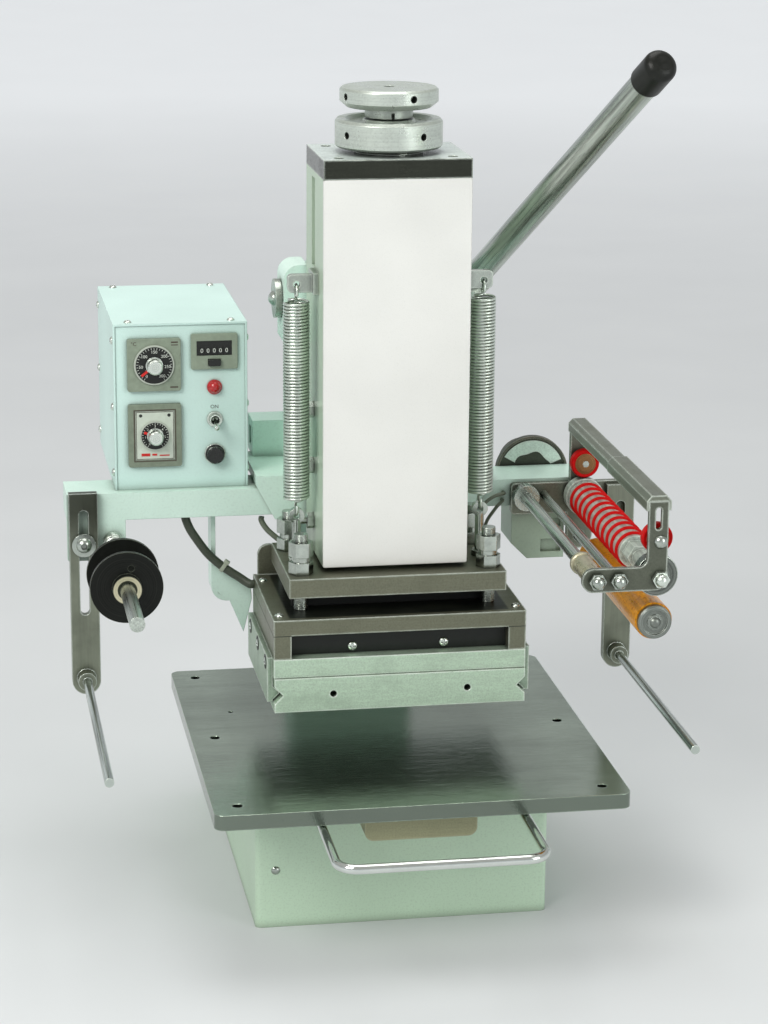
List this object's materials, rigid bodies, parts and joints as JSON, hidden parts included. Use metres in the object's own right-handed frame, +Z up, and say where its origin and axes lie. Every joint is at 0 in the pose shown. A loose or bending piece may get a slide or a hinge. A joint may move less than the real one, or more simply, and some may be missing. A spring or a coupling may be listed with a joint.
{
  "type": "hot foil stamping press",
  "caption": "Bench hot foil stamping press with a lever-driven heated head on a C-frame, a sliding table, a foil unwind reel, a foil feed unit and a control box.",
  "frame": {"origin": "on the base underside, straight below the ram axis", "axes": "+Z up along the ram, +X to the operator's right, -Y toward the operator"},
  "size_m": [0.524, 0.5568, 0.7874],
  "materials": {
    "mint_paint": "satin",
    "white_paint": "satin",
    "box_paint": "satin",
    "dark_steel": "ground",
    "ground_steel": "ground",
    "bright_steel": "bright",
    "spring_steel": "drawn wire",
    "wheel_alloy": "turned",
    "chrome_rod": "polished",
    "black_metal": "matt",
    "black_board": "matt",
    "brown_laminate": "matt",
    "grey_plastic": "satin",
    "black_plastic": "gloss",
    "red_lens": "gloss",
    "red_rubber": "matt",
    "orange_tube": "gloss",
    "black_rubber": "matt"
  },
  "bodies": {
    "press_frame": {"base_casting": "mint_paint", "frame_column": "mint_paint", "head_casing": "mint_paint", "front_cover": "white_paint", "cap_plate": "dark_steel", "gib_set": "ground_steel", "spring_tabs": "dark_steel", "cross_beam": "mint_paint", "box_cover": "box_paint", "box_chassis": "box_paint", "temp_controller": "grey_plastic", "timer_unit": "grey_plastic", "counter_unit": "grey_plastic", "pilot_lamp": "red_lens", "panel_fittings": "bright_steel", "reel_shaft": "bright_steel", "far_plate": "dark_steel", "near_plate": "dark_steel", "tie_rods": "bright_steel", "frame_bolts": "bright_steel", "box_screws": "bright_steel", "cover_bar": "dark_steel", "feed_housing": "mint_paint", "feed_motor": "black_metal", "spring_left": "spring_steel", "spring_right": "spring_steel", "head_cables": "black_rubber"},
    "ram_unit": {"ram": "ground_steel", "head_plate": "dark_steel", "levelling_studs": "bright_steel", "insulation_board": "black_board", "hot_plate": "ground_steel", "heater_block": "black_metal", "adapter_plate": "ground_steel", "chase_rails": "ground_steel", "head_screws": "bright_steel"},
    "chase_unit": {"chase_plate": "ground_steel"},
    "lever_unit": {"cross_shaft": "ground_steel", "sector_gear": "ground_steel", "lever_hub": "ground_steel", "lever_rod": "bright_steel", "lever_grip": "black_rubber"},
    "stroke_wheel_unit": {"stroke_wheel": "wheel_alloy"},
    "lock_wheel_unit": {"lock_wheel": "wheel_alloy"},
    "table_unit": {"table_plate": "ground_steel", "slide_key": "brown_laminate", "table_handle": "chrome_rod"},
    "left_guide_unit": {"left_guide": "bright_steel"},
    "right_guide_unit": {"right_guide": "bright_steel"},
    "reel_unit": {"foil_reel": "black_plastic"},
    "feed_roller_unit": {"feed_roller": "bright_steel", "roller_rings": "red_rubber"},
    "pinch_far_unit": {"pinch_far": "red_rubber"},
    "pinch_near_unit": {"pinch_near": "red_rubber"},
    "rewind_unit": {"rewind_arbor": "bright_steel", "rewind_core": "orange_tube"},
    "temp_dial_unit": {"temp_dial": "wheel_alloy"},
    "timer_dial_unit": {"timer_dial": "wheel_alloy"},
    "toggle_unit": {"toggle_lever": "bright_steel"},
    "reset_unit": {"reset_button": "black_plastic"}
  },
  "joints": [
    {"name": "ram_slide", "type": "slide", "parent": "press_frame", "child": "ram_unit", "axis": [0, 0, -1], "range_m": [0, 0.036], "stiffness_N_per_m": 2900, "springref_m": -0.2, "deforming": ["spring_left", "spring_right", "head_cables"]},
    {"name": "lever_swing", "type": "hinge", "parent": "press_frame", "child": "lever_unit", "pos_m": [0, 0.11, 0.5272], "axis": [1, 0, 0], "range_deg": [0, 29.47]},
    {"name": "chase_slide", "type": "slide", "parent": "ram_unit", "child": "chase_unit", "axis": [0, -1, 0], "range_m": [0, 0.14]},
    {"name": "stroke_wheel_turn", "type": "hinge", "parent": "press_frame", "child": "stroke_wheel_unit", "pos_m": [0, 0, 0.725], "axis": [0, 0, 1], "continuous": true},
    {"name": "lock_wheel_turn", "type": "hinge", "parent": "press_frame", "child": "lock_wheel_unit", "pos_m": [0, 0, 0.69], "axis": [0, 0, 1], "continuous": true},
    {"name": "table_slide", "type": "slide", "parent": "press_frame", "child": "table_unit", "axis": [0, -1, 0], "range_m": [0, 0.15]},
    {"name": "left_guide_height", "type": "slide", "parent": "press_frame", "child": "left_guide_unit", "axis": [0, 0, 1], "range_m": [-0.027, 0.061]},
    {"name": "right_guide_height", "type": "slide", "parent": "press_frame", "child": "right_guide_unit", "axis": [0, 0, 1], "range_m": [-0.027, 0.049]},
    {"name": "reel_spin", "type": "hinge", "parent": "press_frame", "child": "reel_unit", "pos_m": [-0.2405, -0.069, 0.3179], "axis": [0, 1, 0], "continuous": true},
    {"name": "feed_roller_spin", "type": "hinge", "parent": "press_frame", "child": "feed_roller_unit", "pos_m": [0.193, -0.08, 0.3474], "axis": [0, 1, 0], "continuous": true},
    {"name": "pinch_far_spin", "type": "hinge", "parent": "press_frame", "child": "pinch_far_unit", "pos_m": [0.193, 0.042, 0.3789], "axis": [0, 1, 0], "continuous": true},
    {"name": "pinch_near_spin", "type": "hinge", "parent": "press_frame", "child": "pinch_near_unit", "pos_m": [0.193, -0.211, 0.3789], "axis": [0, 1, 0], "continuous": true},
    {"name": "rewind_spin", "type": "hinge", "parent": "press_frame", "child": "rewind_unit", "pos_m": [0.192, -0.1, 0.3069], "axis": [0, 1, 0], "continuous": true},
    {"name": "temp_dial_turn", "type": "hinge", "parent": "press_frame", "child": "temp_dial_unit", "pos_m": [-0.2005, 0.0696, 0.4775], "axis": [0, 1, 0], "range_deg": [0, 290]},
    {"name": "timer_dial_turn", "type": "hinge", "parent": "press_frame", "child": "timer_dial_unit", "pos_m": [-0.2005, 0.0696, 0.4124], "axis": [0, 1, 0], "range_deg": [0, 290]},
    {"name": "toggle_flip", "type": "hinge", "parent": "press_frame", "child": "toggle_unit", "pos_m": [-0.146, 0.0686, 0.4255], "axis": [-1, 0, 0], "range_deg": [0, 28]},
    {"name": "reset_press", "type": "slide", "parent": "press_frame", "child": "reset_unit", "axis": [0, 1, 0], "range_m": [0, 0.002], "stiffness_N_per_m": 300, "springref_m": -0.001}
  ],
  "couplings": [
    {"joint": "lever_swing", "follows": "ram_slide", "rad_per_m": 14.286},
    {"joint": "pinch_far_spin", "follows": "feed_roller_spin", "ratio": -1.3409},
    {"joint": "pinch_near_spin", "follows": "feed_roller_spin", "ratio": -1.3636}
  ]
}
